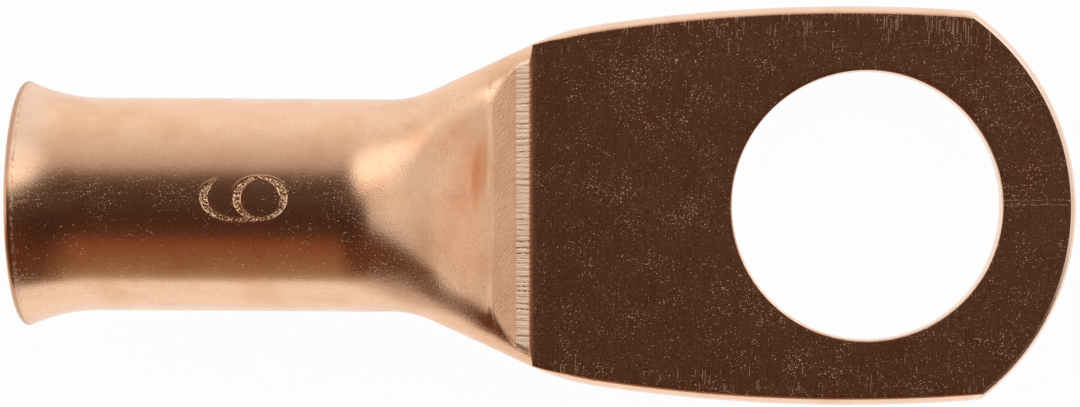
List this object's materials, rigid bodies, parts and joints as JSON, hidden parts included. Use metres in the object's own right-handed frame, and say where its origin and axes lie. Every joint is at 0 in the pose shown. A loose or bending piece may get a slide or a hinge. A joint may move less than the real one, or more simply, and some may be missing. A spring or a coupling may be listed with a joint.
{
  "type": "copper cable lug",
  "caption": "Tubular cable lug of bare copper: a belled wire barrel that necks down over a pressed shoulder into a flat palm with a round stud hole.",
  "frame": {"origin": "on the axis of the stud hole, at the palm's underside", "axes": "+Z out of the palm's top face along the stud hole, -X towards the mouth of the wire barrel, +Y across the palm"},
  "size_m": [0.0395, 0.0152, 0.0091],
  "materials": {
    "copper": "bare bright copper, satin from annealing, with fine handling scratches"
  },
  "bodies": {
    "root": {"lug": "copper"}
  },
  "joints": []
}
